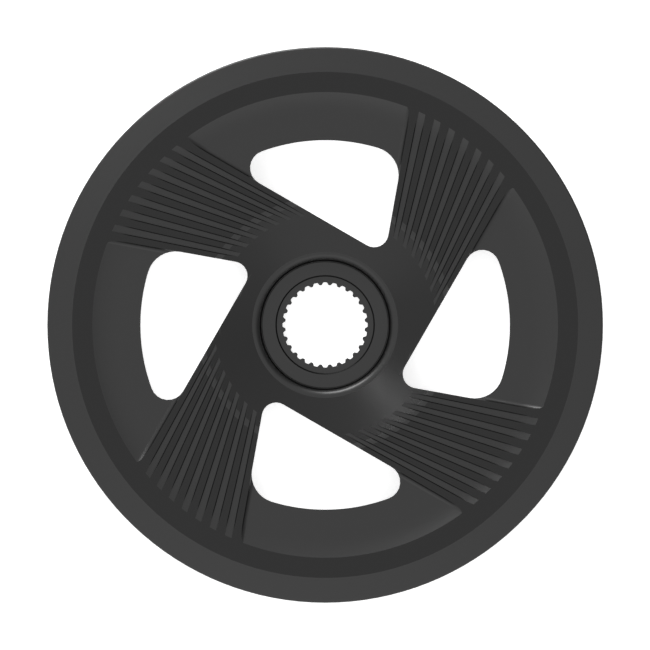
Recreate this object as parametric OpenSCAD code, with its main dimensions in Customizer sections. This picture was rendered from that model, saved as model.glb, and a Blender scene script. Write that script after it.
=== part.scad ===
// Bicycle chainring for a splined crank or motor output, milled from one aluminium plate.
// The outer face carries a guard ring that stands over the chain, four swept arms with
// fans of shallow grooves, and a dished hub with a lockring recess and an internal spline.
// Origin at the centre of the rear hub face, +Z to the outer side, all sizes in mm.

/* [Chain and teeth] */
// Number of teeth
tooth_count = 44; // [40:1:46]
// Pitch of the chain
chain_pitch = 12.7; // [12.6:0.05:12.8]
// Diameter of the chain's rollers
roller_d = 7.75; // [7.6:0.05:7.95]
// Room between a roller and its seat, on the radius
seat_room = 0.06; // [0.02:0.01:0.15]
// Half of the angle that a roller seat covers
seat_half_angle = 65; // [60:1:67]
// Radius of the bulged tooth flank above the seat
flank_r = 43; // [30:1:80]
// Height of the tooth tips above the pitch circle
tooth_top = 3; // [2:0.1:3.1]
// Thickness of the toothed plate
plate_t = 2.1; // [1.6:0.1:2.4]
// Thickness left at the tooth tips
tip_t = 1.1; // [0.8:0.1:1.5]
// Length of the slope that thins the tips
tip_slope_l = 3.2; // [1:0.1:4]
// Room below the roller seats for the chain's side plates
plate_room = 2.3; // [1.5:0.1:3]

/* [Guard ring] */
// Diameter over the guard ring
guard_d = 196; // [192:1:206]
// Width of the sloped band at the edge
band_w = 8.8; // [5:0.1:10]
// Drop of the sloped band from its inner to its outer edge
band_drop = 1.2; // [0.3:0.1:1.8]
// Radius of the rounded outer edge
edge_r = 0.7; // [0.2:0.1:0.9]
// Thickness of the guard ring at its flat face
guard_t = 3.1; // [2.9:0.1:3.8]
// Width of the slot that the chain runs in, between plate and guard
slot_w = 3; // [2.6:0.1:3.6]
// Radius in the corners of the chain slot
slot_corner_r = 0.8; // [0.3:0.1:1]
// Width of the flat ring inside the sloped band
flat_w = 7.1; // [5:0.1:9]

/* [Arms and windows] */
// Number of arms, with a window between each two
arm_count = 4; // [4:1:4]
// Width of the sunk ring from the flat ring to the windows
pocket_w = 17; // [14:0.1:19]
// Thickness of the arms below the flat face
arm_t = 5; // [4:0.1:6]
// Distance from the axis to an arm's trailing edge, which is a window's long side
trail_dist = 31.7; // [30:0.1:34]
// Direction of an arm's trailing edge
trail_angle = 60; // [58:0.5:62]
// Distance from the axis to an arm's leading edge, which is a window's short side
lead_dist = 16.3; // [14:0.1:18]
// Direction of an arm's leading edge
lead_angle = 79.8; // [78:0.1:82]
// Corner radius of a window at the foot of its long side
foot_corner_r = 5; // [3:0.1:7]
// Corner radius of a window at its wide outer end
wide_corner_r = 10; // [7:0.1:12]
// Corner radius of a window at its narrow outer end
narrow_corner_r = 6.1; // [4:0.1:8]
// Corner radius of the sunk ring beside an arm
pocket_corner_r = 2.2; // [0.6:0.1:3]
// Radius of the hollow curve between the sunk ring's floor and an arm's edge
pocket_hollow_r = 2; // [1.4:0.1:3]

/* [Grooves] */
// Number of grooves on an arm
groove_count = 7; // [3:2:7]
// Angle from one groove to the next, about the point where the arm's edges meet
groove_step = 2.65; // [2.3:0.05:2.7]
// Turn of the whole fan away from the middle between the arm's edges
fan_turn = 0.1; // [-0.3:0.05:0.3]
// Angle that one groove covers at half of its depth
groove_angle = 1.26; // [0.8:0.02:1.5]
// Distance from the hub at which the grooves begin, on the radius
groove_in_r = 39.1; // [37:0.1:41]
// Slope of the groove walls away from upright
groove_draft = 16; // [10:1:30]
// How much a groove narrows on each side as it runs out
groove_neck = 0.4; // [0:0.05:0.6]
// Width of the hollow curve in which a sunk floor rises to the flat ring
cove_w = 9; // [5:0.1:11]

/* [Hub] */
// Height of the flat face above the rear hub face
face_h = 15; // [14:0.1:17]
// Angle of the dish that leads down to the hub
dish_angle = 14; // [10:0.5:15]
// Outer diameter of the dish, where its slope would meet the flat face
dish_d = 88.3; // [86:0.1:90]
// Width of the rounded edge between the flat face and the dish
dish_edge_w = 2.3; // [1:0.1:3]
// Diameter of the round lip at the foot of the dish
lip_d = 51.5; // [50.4:0.1:53]
// Radius of the lip
lip_r = 2.3; // [1.5:0.1:2.4]
// Diameter of the lockring recess
recess_d = 45.8; // [45.2:0.1:46]
// Diameter of the seat that the lockring presses on
seat_d = 44.6; // [42:0.1:44.8]
// Height of that seat above the rear hub face
seat_h = 7.2; // [6.8:0.1:7.4]
// Depth of the relief ring around the seat
relief_depth = 1.2; // [0.5:0.1:1.4]
// Width of the relief ring at its floor
relief_foot_w = 0.25; // [0.1:0.05:0.3]
// Diameter of the shallow step inside the seat, at its foot
step_d = 34.1; // [33:0.1:36]
// Depth of that step
step_depth = 1; // [0.6:0.1:1.5]
// How far the step's wall leans off the axis, in degrees
step_lean = 27; // [5:1:30]
// Diameter of the hub boss on the rear
boss_d = 54; // [50:0.5:58]
// Radius between the boss and the arms
boss_fillet_r = 4; // [1:0.5:5]
// Small edge break on turned edges
edge_break = 0.3; // [0.1:0.1:0.4]

/* [Spline] */
// Number of spline teeth
spline_count = 28; // [24:1:28]
// Diameter over the spline's gullets
spline_major_d = 30; // [29.6:0.1:31]
// Diameter over the spline's tooth tips
spline_minor_d = 28.1; // [27.8:0.1:28.4]
// Width of a gullet at its floor
gullet_w = 1.25; // [1:0.05:1.4]
// Slope of a spline tooth's flank
gullet_angle = 30; // [20:1:32]
// Radius in the corners of a gullet
gullet_corner_r = 0.3; // [0.1:0.05:0.35]
// Lead-in bevel at both ends of the spline
spline_bevel = 0.5; // [0.2:0.1:0.8]

/* [Hidden] */
pitch_r = chain_pitch / 2 / sin(180 / tooth_count);
seat_r = roller_d / 2 + seat_room;
root_r = pitch_r - seat_r;
tip_r = pitch_r + tooth_top;
guard_r = guard_d / 2;
band_in_r = guard_r - band_w;
pocket_r = band_in_r - flat_w;
window_r = pocket_r - pocket_w;
slot_floor_r = root_r - plate_room;
carrier_in_r = slot_floor_r - 8.5;
guard_rear_z = face_h - guard_t;
plate_front_z = guard_rear_z - slot_w;
plate_rear_z = plate_front_z - plate_t;
arm_rear_z = face_h - arm_t;
rim_z = face_h - band_drop;
dish_r = dish_d / 2;
lip_z = face_h - (dish_r - lip_d / 2) * tan(dish_angle);
step_z = seat_h - step_depth;

// Where the lines of an arm's two edges cross, which is the centre of its grooves
edge_cross = [
    (lead_dist * cos(trail_angle) - trail_dist * cos(lead_angle)) / sin(lead_angle - trail_angle),
    (lead_dist * sin(trail_angle) - trail_dist * sin(lead_angle)) / sin(lead_angle - trail_angle)];
fan_angle = (lead_angle + trail_angle) / 2 + fan_turn;
fan_start = norm(edge_cross) - 6;

// The sunk floors are level with the dish where the grooves begin
floor_depth = (dish_r - groove_in_r) * tan(dish_angle);
cove_r = (cove_w * cove_w + floor_depth * floor_depth) / 2 / floor_depth;
cove_end = asin(cove_w / cove_r);

// Points on an arc from angle a0 to a1
function arc(c, r, a0, a1, n) =
    [for (i = [0:n]) let (a = a0 + (a1 - a0) * i / n) c + r * [cos(a), sin(a)]];

// Distances along a unit normal, to build a window from its lines
function toward(a) = [cos(a), sin(a)];

// Centre of a corner circle that touches the inside of an arc and one straight side
function arc_corner(rim, r, side_angle, side_dist, turn) =
    let (d = side_dist, h = sqrt((rim - r) * (rim - r) - d * d))
    d * toward(side_angle) + turn * h * toward(side_angle + 90);

// Centre of a corner circle between the two straight sides, each moved out by some room
function side_corner(r, room) =
    let (p = trail_dist - room + r, q = lead_dist + room - r,
         a = trail_angle, b = lead_angle - 90,
         k = sin(b - a))
    [(p * sin(b) - q * sin(a)) / k, (q * cos(a) - p * cos(b)) / k];

// Outline between two arms: long side, outer arc and short side, with round corners
function window_outline(rim, narrow, wide, foot, room = 0) =
    let (n1 = trail_angle, n2 = lead_angle - 90,
         c1 = arc_corner(rim, narrow, n1, trail_dist - room + narrow, 1),
         c2 = arc_corner(rim, wide, n2, lead_dist + room - wide, 1),
         c3 = side_corner(foot, room),
         a1 = atan2(c1[1], c1[0]), a2 = atan2(c2[1], c2[0]))
    concat(
        arc([0, 0], rim, a2, a1, 24),
        arc(c1, narrow, a1, n1 + 180, 8),
        arc(c3, foot, n1 + 180, n2 + 360, 8),
        arc(c2, wide, n2, a2, 8));

// Section of the turned body, from the axis outward along the rear and back along the front
module body_section() {
    edge_z = rim_z + edge_r * band_drop / band_w;
    edge_turn = atan(band_drop / band_w);
    dish_edge_r = dish_edge_w / 2 / tan(dish_angle / 2);
    dish_edge_out = dish_r + dish_edge_w / 2;
    lip_c = [recess_d / 2 + lip_r, lip_z - lip_r];
    polygon(concat(
        [[0, 0], [boss_d / 2 - edge_break, 0], [boss_d / 2, edge_break]],
        arc([boss_d / 2 + boss_fillet_r, arm_rear_z - boss_fillet_r], boss_fillet_r, 180, 90, 8),
        arc([carrier_in_r - slot_corner_r, arm_rear_z - slot_corner_r], slot_corner_r, 90, 0, 4),
        [[carrier_in_r, plate_rear_z + edge_break], [carrier_in_r + edge_break, plate_rear_z],
         [root_r - 0.8, plate_rear_z], [root_r - 0.8, plate_front_z]],
        arc([slot_floor_r + slot_corner_r, plate_front_z + slot_corner_r],
            slot_corner_r, 270, 180, 4),
        arc([slot_floor_r + slot_corner_r, guard_rear_z - slot_corner_r],
            slot_corner_r, 180, 90, 4),
        [[guard_r - edge_break, guard_rear_z], [guard_r, guard_rear_z + edge_break]],
        arc([guard_r - edge_r, edge_z - edge_r / cos(edge_turn)], edge_r, 0, 90 - edge_turn, 6),
        [[band_in_r, face_h]],
        arc([dish_edge_out, face_h - dish_edge_r], dish_edge_r, 90, 90 + dish_angle, 4),
        [[lip_d / 2, lip_z]],
        arc(lip_c, lip_r, 90, 180, 8),
        [[recess_d / 2, seat_h],
         [seat_d / 2 + relief_foot_w, seat_h - relief_depth],
         [seat_d / 2, seat_h - relief_depth],
         [seat_d / 2, seat_h - edge_break / 2], [seat_d / 2 - edge_break / 2, seat_h],
         [step_d / 2 + step_depth * tan(step_lean), seat_h],
         [step_d / 2, step_z], [0, step_z]]));
}

// One tooth and the roller seat after it, as the outline runs round the ring
function tooth_outline(i) =
    let (a = 360 * i / tooth_count, u = toward(a), v = toward(a + 90),
         c = pitch_r * u,
         side = toward(180 - seat_half_angle),
         flank_c = (seat_r + flank_r) * side,
         top_x = sqrt(tip_r * tip_r - 36) - pitch_r,
         bend = asin((top_x - flank_c[0]) / flank_r),
         from = 90 - seat_half_angle)
    concat(
        [for (k = [-4:4]) let (t = 180 + seat_half_angle * k / 4)
            c + seat_r * (cos(t) * u - sin(t) * v)],
        [for (k = [1:3]) let (t = from + (bend - from) * k / 3)
            c + (flank_c[0] + flank_r * sin(t)) * u + (flank_c[1] - flank_r * cos(t)) * v],
        [for (k = [3:-1:1]) let (t = from + (bend - from) * k / 3, n = a + 360 / tooth_count)
            (pitch_r + flank_c[0] + flank_r * sin(t)) * toward(n)
            - (flank_c[1] - flank_r * cos(t)) * toward(n + 90)]);

// Toothed rim, thinned on both sides towards the tips
module tooth_ring() {
    mid = (plate_front_z + plate_rear_z) / 2;
    intersection() {
        translate([0, 0, plate_rear_z]) linear_extrude(plate_t) difference() {
            polygon([for (i = [0:tooth_count - 1]) each tooth_outline(i)]);
            circle(r = root_r - 1.2, $fn = 180);
        }
        rotate_extrude($fn = 180) polygon([
            [root_r - 3, plate_rear_z - 1], [root_r - 3, plate_front_z + 1],
            [tip_r - tip_slope_l - (2 * tip_slope_l / (plate_t - tip_t)), plate_front_z + 1],
            [tip_r - tip_slope_l, plate_front_z], [tip_r, mid + tip_t / 2],
            [tip_r + 1, mid + tip_t / 2], [tip_r + 1, mid - tip_t / 2], [tip_r, mid - tip_t / 2],
            [tip_r - tip_slope_l, plate_rear_z],
            [tip_r - tip_slope_l - (2 * tip_slope_l / (plate_t - tip_t)), plate_rear_z - 1]]);
    }
}

// Everything above the sunk floors, turned about the axis, with the curve up to the flat ring
module floor_ring() {
    inner = groove_in_r - 4;
    outer = pocket_r + 0.6;
    translate([0, 0, face_h]) rotate_extrude($fn = 180) polygon(concat(
        [[inner, -floor_depth]],
        arc([pocket_r - cove_w, cove_r - floor_depth], cove_r, 270, 270 + cove_end, 8),
        [[outer, 0.6 * tan(cove_end)], [outer, 3], [inner, 3]]));
}

// Half of space on one side of a line through the arm's crossing point, its face leaning
module leaning_half(a, side) {
    reach = 2 * guard_r;
    translate([edge_cross[0], edge_cross[1], face_h - floor_depth / 2])
        rotate(a) rotate([-side * groove_draft, 0, 0])
            translate([fan_start, side > 0 ? -reach : 0, -20]) cube([reach, reach, 40]);
}

// Where a groove in direction a reaches the flat ring, from the crossing point
function groove_end(a) =
    let (b = edge_cross * toward(a))
    -b + sqrt(b * b - edge_cross * edge_cross + pocket_r * pocket_r);

// One groove, between two walls that spread from the crossing point of the arm's edges
module groove(a) {
    end = groove_end(a);
    start = end - cove_w;
    half = end * tan(groove_angle / 2) + floor_depth / 2 * tan(groove_draft);
    room = 0.1;
    outer = half - groove_neck;
    intersection() {
        leaning_half(a + groove_angle / 2, 1);
        leaning_half(a - groove_angle / 2, -1);
        translate([edge_cross[0], edge_cross[1], arm_rear_z]) rotate(a) linear_extrude(arm_t + 1)
            polygon([[fan_start, -half - room], [start, -half - room], [end + 1, -outer],
                     [end + 1, outer], [start, half + room], [fan_start, half + room]]);
    }
}

// All beyond a straight edge, with a hollow curve from a floor that climbs at one slope
module hollow_cut(dist, side, slope) {
    r = pocket_hollow_r;
    low = floor_depth + 0.02;
    w = sqrt(2 * r * low - low * low);
    top = asin((r - low) / r);
    foot_r = pocket_r - cove_w + cove_r * sin(slope);
    foot_y = sqrt(foot_r * foot_r - pow(dist + side * w, 2));
    reach = 2 * guard_r;
    rise = 0.3;
    profile = concat(
        [[reach, -1], [w + 1, -0.05]],
        arc([w, r], r, 270, 180 + top, 6),
        [[-rise * tan(top), low + rise], [-rise * tan(top), reach], [reach, reach]]);
    translate([0, foot_y, face_h - low + cove_r * (1 - cos(slope))])
        rotate([atan(tan(slope) * foot_y / foot_r), 0, 0]) translate([dist, reach, 0])
            rotate([90, 0, 0]) linear_extrude(2 * reach)
                polygon([for (p = profile) [side * p[0], p[1]]]);
}

// A straight side of the sunk ground: its hollow curve runs level, then climbs with the cove
module hollow_side(dist, side) {
    intersection() {
        hollow_cut(dist, side, 0);
        hollow_cut(dist, side, cove_end * 0.25);
        hollow_cut(dist, side, cove_end * 0.5);
        hollow_cut(dist, side, cove_end * 0.75);
        hollow_cut(dist, side, cove_end * 0.97);
    }
}

// The sunk ground around a window, hollow at its two straight sides
module pocket() {
    room = 0.3;
    intersection() {
        translate([0, 0, arm_rear_z]) linear_extrude(arm_t + 1)
            polygon(window_outline(pocket_r + room, pocket_corner_r, pocket_corner_r,
                                   foot_corner_r, room));
        rotate(trail_angle) hollow_side(trail_dist, 1);
        rotate(lead_angle - 90) hollow_side(lead_dist, -1);
    }
}

// A quarter of the face's cuts: one window's ground and one arm's grooves
module face_cuts() {
    pocket();
    for (k = [0:groove_count - 1])
        groove(fan_angle + (k - (groove_count - 1) / 2) * groove_step);
}

// One gullet of the spline, open towards the axis, with rounded corners
module gullet() {
    top = spline_major_d / 2;
    low = spline_minor_d / 2 - 0.5;
    f = gullet_corner_r;
    y = gullet_w / 2 - f * tan((90 - gullet_angle) / 2);
    wide = gullet_w / 2 + (top - low) * tan(gullet_angle);
    polygon(concat(
        [[low, -wide]],
        arc([top - f, -y], f, -90 + gullet_angle, 0, 3),
        arc([top - f, y], f, 0, 90 - gullet_angle, 3),
        [[low, wide]]));
}

// The splined bore, where each flat between two gullets is a tooth tip, with lead-in bevels
module spline_bore() {
    r = spline_major_d / 2;
    corner_r = spline_minor_d / 2 / cos(180 / spline_count);
    translate([0, 0, -1]) linear_extrude(step_z + 2) {
        polygon([for (i = [0:spline_count - 1]) corner_r * toward(360 * i / spline_count)]);
        for (i = [0:spline_count - 1]) rotate(360 * i / spline_count) gullet();
    }
    rotate_extrude($fn = 120) polygon([
        [0, -1], [r + 1, -1], [r, 0], [r - spline_bevel, spline_bevel],
        [0, spline_bevel]]);
}

// The whole ring as one solid
module chainring() {
    color("#3a3b3d") difference() {
        union() {
            rotate_extrude($fn = 180) body_section();
            tooth_ring();
        }
        for (i = [0:arm_count - 1]) rotate(i * 360 / arm_count)
            translate([0, 0, -1]) linear_extrude(face_h + 2)
                polygon(window_outline(window_r, narrow_corner_r, wide_corner_r,
                                       foot_corner_r));
        intersection() {
            floor_ring();
            for (i = [0:arm_count - 1]) rotate(i * 360 / arm_count) face_cuts();
        }
        spline_bore();
    }
}

chainring();
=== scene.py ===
# Bicycle chainring: its satin and matt finishes, a pale studio and the camera
import math
import bmesh
import bpy
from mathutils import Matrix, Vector


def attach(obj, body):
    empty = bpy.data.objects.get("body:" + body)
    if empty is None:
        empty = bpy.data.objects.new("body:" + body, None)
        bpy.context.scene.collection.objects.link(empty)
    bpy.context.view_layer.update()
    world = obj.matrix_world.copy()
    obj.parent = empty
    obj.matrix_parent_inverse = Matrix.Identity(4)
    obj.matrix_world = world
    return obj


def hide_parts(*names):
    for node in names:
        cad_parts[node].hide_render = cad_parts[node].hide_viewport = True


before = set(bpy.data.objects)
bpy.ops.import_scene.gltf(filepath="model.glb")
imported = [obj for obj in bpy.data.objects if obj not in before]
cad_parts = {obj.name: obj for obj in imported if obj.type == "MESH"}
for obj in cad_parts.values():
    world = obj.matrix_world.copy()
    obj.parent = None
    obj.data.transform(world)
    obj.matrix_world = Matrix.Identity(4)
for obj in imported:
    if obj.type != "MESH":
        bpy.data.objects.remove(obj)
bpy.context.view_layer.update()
mm = 0.001
white = (1, 1, 1, 1)


def fromHex(code):
    parts = [int(code[i:i + 2], 16) / 255 for i in (1, 3, 5)]
    linear = [p / 12.92 if p <= 0.04045 else ((p + 0.055) / 1.055) ** 2.4 for p in parts]
    return (*linear, 1.0)


def addNode(tree, kind, settings=None, inputs=None, links=None):
    node = tree.nodes.new(kind)
    for name, value in (settings or {}).items():
        setattr(node, name, value)
    for socket, value in (inputs or {}).items():
        node.inputs[socket].default_value = value
    for socket, source in (links or {}).items():
        tree.links.new(source, node.inputs[socket])
    return node


# Both finishes are one black anodising on machined aluminium. The grain of the real one is
# about 0.1 mm, too fine to show, so it is drawn coarser.
grain = {"size": 0.6 * mm, "layers": 2.0, "fineShare": 0.6}
# Satin: the faces that are turned last stay smoother. Seen from above they are darker, and
# the dish carries a narrow highlight.
satin = {"colour": "#333333", "roughness": 0.25, "spread": 0.01, "grainDepth": 0.0004 * mm}
# Matt: the blasted ground scatters more light, so it looks a step lighter, and its
# highlights are broad and soft.
matt = {"colour": "#3E3E3E", "roughness": 0.34, "spread": 0.02, "grainDepth": 0.0015 * mm}


def anodised(name, finish):
    material = bpy.data.materials.new(name)
    material.use_nodes = True
    tree = material.node_tree
    shader = tree.nodes["Principled BSDF"]
    shader.inputs["Base Color"].default_value = fromHex(finish["colour"])
    shader.inputs["Metallic"].default_value = 1.0
    place = addNode(tree, "ShaderNodeTexCoord")
    pattern = addNode(tree, "ShaderNodeTexNoise",
                      inputs={"Scale": 1 / grain["size"], "Detail": grain["layers"],
                              "Roughness": grain["fineShare"]},
                      links={"Vector": place.outputs["Object"]})
    gloss = addNode(tree, "ShaderNodeMapRange",
                    inputs={"To Min": finish["roughness"] - finish["spread"],
                            "To Max": finish["roughness"] + finish["spread"]},
                    links={"Value": pattern.outputs["Fac"]})
    bump = addNode(tree, "ShaderNodeBump",
                   inputs={"Strength": 1.0, "Distance": finish["grainDepth"]},
                   links={"Height": pattern.outputs["Fac"]})
    tree.links.new(gloss.outputs["Result"], shader.inputs["Roughness"])
    tree.links.new(bump.outputs["Normal"], shader.inputs["Normal"])
    return material


satinMaterial = anodised("SatinBlackAnodisedAluminium", satin)
mattMaterial = anodised("BlastedBlackAnodisedAluminium", matt)
print("materials made")

# The one machined piece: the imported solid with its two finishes, smooth where it is round.
# A pair gives a zone from its inner to its outer radius.
ring = {
    "faceZ": 15.0 * mm, "faceSlack": 0.01 * mm,
    "flatNormal": 0.9999, "wallNormal": 0.5,  # a facet's normal z: flat above, a wall below
    "dish": (25.7 * mm, 43.05 * mm), "dishBottom": 8 * mm,
    "dishTilt": math.radians(14), "tiltSlack": 0.012,
    "lip": (22.8 * mm, 28.2 * mm), "dishEdge": (42.9 * mm, 45.4 * mm), "rim": 97.0 * mm,
    "ground": (64 * mm, 82.6 * mm), "groundZ": 13.6 * mm,
    # The largest turn, in degrees, from facet to facet of one smooth surface
    "wallTurn": 25, "roundTurn": 20, "groundTurn": 14, "otherTurn": 2.5,
    # The cove is the hollow curve in which the sunk ground rises to the flat face
    "cove": (73.1 * mm, 82.1 * mm), "coveRise": 1.26 * mm, "coveSlack": 0.012 * mm,
    "crestSlack": 0.0005 * mm, "longestEdge": 2.2 * mm, "covePasses": 5,
    # Corners this near are merged, and facets this level, in degrees, are joined
    "weldGap": 0.005 * mm, "levelTurn": 0.02,
}


def within(zone, radius):
    return zone[0] < radius < zone[1]


def isSatin(face):
    middle = face.calc_center_median()
    radius = math.hypot(middle.x, middle.y)
    if abs(middle.z - ring["faceZ"]) < ring["faceSlack"] and face.normal.z > ring["flatNormal"]:
        return True
    tilt = math.acos(max(-1, min(1, face.normal.z)))
    return (within(ring["dish"], radius) and middle.z > ring["dishBottom"]
            and abs(tilt - ring["dishTilt"]) < ring["tiltSlack"])


def largestTurn(point, upright):
    radius = math.hypot(point.x, point.y)
    if upright:
        return ring["wallTurn"]
    if within(ring["lip"], radius) or within(ring["dishEdge"], radius) or radius > ring["rim"]:
        return ring["roundTurn"]
    if within(ring["ground"], radius) and point.z > ring["groundZ"]:
        return ring["groundTurn"]
    return ring["otherTurn"]


# A round curve that starts level at the cove's inner radius and ends at the flat face
def coveHeight(radius):
    inner, outer = ring["cove"]
    reach = outer - inner
    curve = (reach ** 2 + ring["coveRise"] ** 2) / (2 * ring["coveRise"])
    along = min(max(radius - inner, 0), reach)
    return ring["faceZ"] - ring["coveRise"] + curve - math.sqrt(curve ** 2 - along ** 2)


def onCove(point):
    inner, outer = ring["cove"]
    radius = math.hypot(point.x, point.y)
    return (inner - ring["coveSlack"] < radius < outer + ring["coveSlack"]
            and abs(point.z - coveHeight(radius)) < ring["coveSlack"])


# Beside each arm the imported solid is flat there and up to 0.2 mm proud of the turned curve.
# The long facets are cut finer, and the new corners go onto the curve.
def refineCove(form):
    for step in range(ring["covePasses"]):
        form.normal_update()
        longEdges = [edge for edge in form.edges if edge.calc_length() > ring["longestEdge"]
                     and all(onCove(vert.co) for vert in edge.verts)
                     and any(face.normal.z < ring["flatNormal"] for face in edge.link_faces)]
        cut = bmesh.ops.subdivide_edges(form, edges=longEdges, cuts=1)
        fresh = [item for item in cut["geom_inner"] if isinstance(item, bmesh.types.BMVert)]
        for vert in fresh:
            radius = math.hypot(vert.co.x, vert.co.y)
            if vert.co.z > ring["faceZ"] - ring["crestSlack"]:
                outward = ring["cove"][1] / radius
                vert.co.x, vert.co.y = vert.co.x * outward, vert.co.y * outward
            else:
                vert.co.z = coveHeight(radius)
        bmesh.ops.triangulate(form, faces=[face for face in form.faces if len(face.verts) > 3],
                              quad_method="BEAUTY", ngon_method="BEAUTY")
        print("cove pass", step, "cut", len(fresh))
    form.normal_update()
    hollow = [face for face in form.faces if face.normal.z < ring["flatNormal"]
              and all(onCove(vert.co) for vert in face.verts)]
    inside = set(hollow)
    inner = [edge for edge in form.edges if len(edge.link_faces) == 2
             and all(face in inside for face in edge.link_faces)]
    bmesh.ops.beautify_fill(form, faces=hollow, edges=inner, method="AREA")


def buildRing():
    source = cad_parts["chainring"]
    mesh = bpy.data.meshes.new("machinedRing")
    form = bmesh.new()
    form.from_mesh(source.data)
    bmesh.ops.remove_doubles(form, verts=form.verts, dist=ring["weldGap"])
    refineCove(form)
    bmesh.ops.dissolve_limit(form, angle_limit=math.radians(ring["levelTurn"]),
                             verts=form.verts, edges=form.edges, delimit={"NORMAL"})
    form.normal_update()
    for face in form.faces:
        face.smooth = True
        face.material_index = 0 if isSatin(face) else 1
    for edge in form.edges:
        if len(edge.link_faces) != 2:
            edge.smooth = False
            continue
        one, other = edge.link_faces
        turn = one.normal.angle(other.normal, 0)
        upright = all(abs(face.normal.z) < ring["wallNormal"] for face in (one, other))
        middle = (edge.verts[0].co + edge.verts[1].co) / 2
        edge.smooth = (turn < math.radians(largestTurn(middle, upright))
                       and one.material_index == other.material_index)
    form.to_mesh(mesh)
    form.free()
    mesh.materials.append(satinMaterial)
    mesh.materials.append(mattMaterial)
    piece = bpy.data.objects.new("machinedRing", mesh)
    bpy.context.scene.collection.objects.link(piece)
    # The large flat faces keep their own direction, and the curves beside them bend to it
    weighted = piece.modifiers.new("weighted", "WEIGHTED_NORMAL")
    weighted.mode = "FACE_AREA"
    weighted.keep_sharp = True
    return piece


machinedRing = buildRing()
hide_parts("chainring")
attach(machinedRing, "root")
print("ring dressed:", len(machinedRing.data.polygons), "faces")


# White studio, in metres, degrees and watts. The floor and the sky look white to the camera
# and in the metal, the floor still darkens under the ring, and one low side of the sky is
# dimmer. A place is an azimuth and an angle off the ring's axis.
studio = {"floorSize": 6.0, "floorDrop": 0.2 * mm, "floorGlow": 0.65, "floorColour": "#F2F2F2",
          "floorRoughness": 0.9,
          "dimAzimuth": 20, "dimOffAxis": 80, "dimReach": 60, "dimLevel": 0.4}
lamps = {
    "rimStrip": {"azimuth": 109, "offAxis": 66, "distance": 1.2, "size": (0.8, 0.5), "watts": 12},
    "dishBox": {"azimuth": 131, "offAxis": 28, "distance": 1.5, "size": (0.12, 0.12), "watts": 0.48},
    "wideFill": {"azimuth": 260, "offAxis": 34, "distance": 1.5, "size": (1.7, 0.8), "watts": 1.8},
}


def direction(azimuth, offAxis):
    turn, lean = math.radians(azimuth), math.radians(offAxis)
    return Vector((math.cos(turn) * math.sin(lean), math.sin(turn) * math.sin(lean),
                   math.cos(lean)))


# Matt white paint has no highlight and shows only the soft shadow
def paintedFloor():
    material = bpy.data.materials.new("PaintedStudioFloor")
    material.use_nodes = True
    tree = material.node_tree
    shader = tree.nodes["Principled BSDF"]
    shader.inputs["Base Color"].default_value = fromHex(studio["floorColour"])
    shader.inputs["Roughness"].default_value = studio["floorRoughness"]
    shader.inputs["Emission Color"].default_value = white
    path = addNode(tree, "ShaderNodeLightPath")
    seen = addNode(tree, "ShaderNodeMath", {"operation": "MAXIMUM"},
                   links={0: path.outputs["Is Camera Ray"], 1: path.outputs["Is Glossy Ray"]})
    shown = addNode(tree, "ShaderNodeMath", {"operation": "MAXIMUM"},
                    links={0: seen.outputs[0], 1: path.outputs["Is Transmission Ray"]})
    glow = addNode(tree, "ShaderNodeMath", {"operation": "MULTIPLY"},
                   inputs={1: studio["floorGlow"]}, links={0: shown.outputs[0]})
    tree.links.new(glow.outputs[0], shader.inputs["Emission Strength"])
    return material


def whiteFloor():
    mesh = bpy.data.meshes.new("studioFloor")
    form = bmesh.new()
    bmesh.ops.create_grid(form, x_segments=1, y_segments=1, size=studio["floorSize"] / 2)
    bmesh.ops.translate(form, verts=form.verts, vec=(0, 0, -studio["floorDrop"]))
    form.to_mesh(mesh)
    form.free()
    mesh.materials.append(paintedFloor())
    floor = bpy.data.objects.new("studioFloor", mesh)
    bpy.context.scene.collection.objects.link(floor)


def whiteSky():
    world = bpy.data.worlds.new("studioSky")
    world.use_nodes = True
    bpy.context.scene.world = world
    tree = world.node_tree
    place = addNode(tree, "ShaderNodeTexCoord")
    near = addNode(tree, "ShaderNodeVectorMath", {"operation": "DOT_PRODUCT"},
                   inputs={1: direction(studio["dimAzimuth"], studio["dimOffAxis"])},
                   links={0: place.outputs["Generated"]})
    side = addNode(tree, "ShaderNodeMapRange", {"interpolation_type": "SMOOTHSTEP"},
                   inputs={"From Min": math.cos(math.radians(studio["dimReach"])), "From Max": 1.0,
                           "To Min": 1.0, "To Max": studio["dimLevel"]},
                   links={"Value": near.outputs["Value"]})
    sky = tree.nodes["Background"]
    sky.inputs["Color"].default_value = white
    tree.links.new(side.outputs["Result"], sky.inputs["Strength"])


def addLamp(name, lamp):
    light = bpy.data.lights.new(name, "AREA")
    light.shape = "RECTANGLE"
    light.size, light.size_y = lamp["size"]
    light.energy = lamp["watts"]
    way = direction(lamp["azimuth"], lamp["offAxis"])
    holder = bpy.data.objects.new(name, light)
    holder.location = way * lamp["distance"]
    holder.rotation_euler = way.to_track_quat("Z", "Y").to_euler()
    bpy.context.scene.collection.objects.link(holder)


whiteFloor()
whiteSky()
for name, lamp in lamps.items():
    addLamp(name, lamp)
print("studio lit")

# The photo looks straight down the axis, from so far that nothing narrows with depth
view = {"width": 229.16 * mm, "height": 600 * mm, "shift": (-0.05 * mm, -0.035 * mm)}
camera = bpy.data.objects.new("photoCamera", bpy.data.cameras.new("photoCamera"))
camera.data.type = "ORTHO"
camera.data.ortho_scale = view["width"]
camera.location = (*view["shift"], view["height"])
bpy.context.scene.collection.objects.link(camera)
bpy.context.scene.camera = camera
bpy.context.scene.view_settings.view_transform = "Standard"
